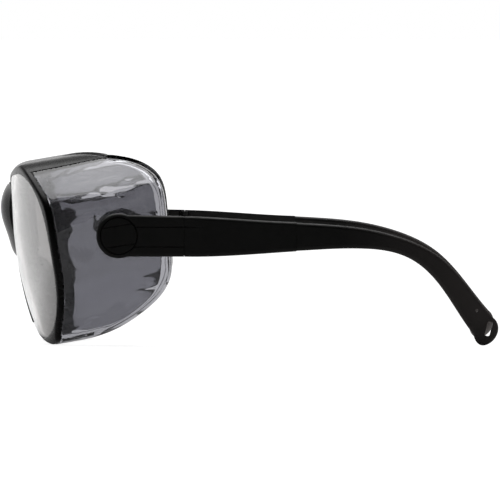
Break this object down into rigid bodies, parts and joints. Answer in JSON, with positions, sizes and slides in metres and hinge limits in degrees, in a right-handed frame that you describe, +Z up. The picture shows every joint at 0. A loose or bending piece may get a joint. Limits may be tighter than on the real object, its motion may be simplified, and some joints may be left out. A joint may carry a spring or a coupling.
{
  "type": "safety glasses",
  "caption": "Over-spectacle safety glasses: tinted lenses in a glossy frame with brow guard and side shields, on temples that tilt, fold and lengthen.",
  "frame": {"origin": "centre of the bounding box's base, on the surface that the lower rims and the temple tips stand on", "axes": "-X is the way the lenses face, +X runs back along the temples, +Z is up, -Y is the wearer's left"},
  "size_m": [0.1634, 0.155, 0.0622],
  "materials": {
    "frame_gloss": "polished black nylon",
    "lens_smoke": "clear-hard-coated smoke polycarbonate",
    "shield_smoke": "moulded smoke polycarbonate",
    "temple_matte": "fine spark-textured black nylon",
    "steel": "plain zinc-plated"
  },
  "bodies": {
    "front": {"front_frame": "frame_gloss", "lens_left": "lens_smoke", "lens_right": "lens_smoke", "side_shield_left": "shield_smoke", "side_shield_right": "shield_smoke", "ratchet_plate_left": "steel", "pivot_hub_left": "temple_matte", "detent_spring_left": "steel", "pivot_screw_left": "steel", "pivot_washer_left": "steel", "ratchet_plate_right": "steel", "pivot_hub_right": "temple_matte", "detent_spring_right": "steel", "pivot_screw_right": "steel", "pivot_washer_right": "steel"},
    "end_piece_left": {"end_piece_left": "temple_matte", "hinge_screw_left": "steel"},
    "temple_left": {"temple_sleeve_left": "temple_matte", "length_detent_left": "steel"},
    "tip_left": {"temple_tip_left": "temple_matte"},
    "end_piece_right": {"end_piece_right": "temple_matte", "hinge_screw_right": "steel"},
    "temple_right": {"temple_sleeve_right": "temple_matte", "length_detent_right": "steel"},
    "tip_right": {"temple_tip_right": "temple_matte"}
  },
  "joints": [
    {"name": "tilt_left", "type": "hinge", "parent": "front", "child": "end_piece_left", "pos_m": [-0.0425, -0.075, 0.03615], "axis": [0, 1, 0], "range_deg": [-10, 10]},
    {"name": "fold_left", "type": "hinge", "parent": "end_piece_left", "child": "temple_left", "pos_m": [-0.0211, -0.0736, 0.03615], "axis": [0, 0, 1], "range_deg": [0, 94]},
    {"name": "length_left", "type": "slide", "parent": "temple_left", "child": "tip_left", "axis": [1, 0, 0], "range_m": [0, 0.01]},
    {"name": "tilt_right", "type": "hinge", "parent": "front", "child": "end_piece_right", "pos_m": [-0.0425, 0.075, 0.03615], "axis": [0, 1, 0], "range_deg": [-10, 10]},
    {"name": "fold_right", "type": "hinge", "parent": "end_piece_right", "child": "temple_right", "pos_m": [-0.0211, 0.0736, 0.03615], "axis": [0, 0, -1], "range_deg": [0, 86]},
    {"name": "length_right", "type": "slide", "parent": "temple_right", "child": "tip_right", "axis": [1, 0, 0], "range_m": [0, 0.01]}
  ]
}
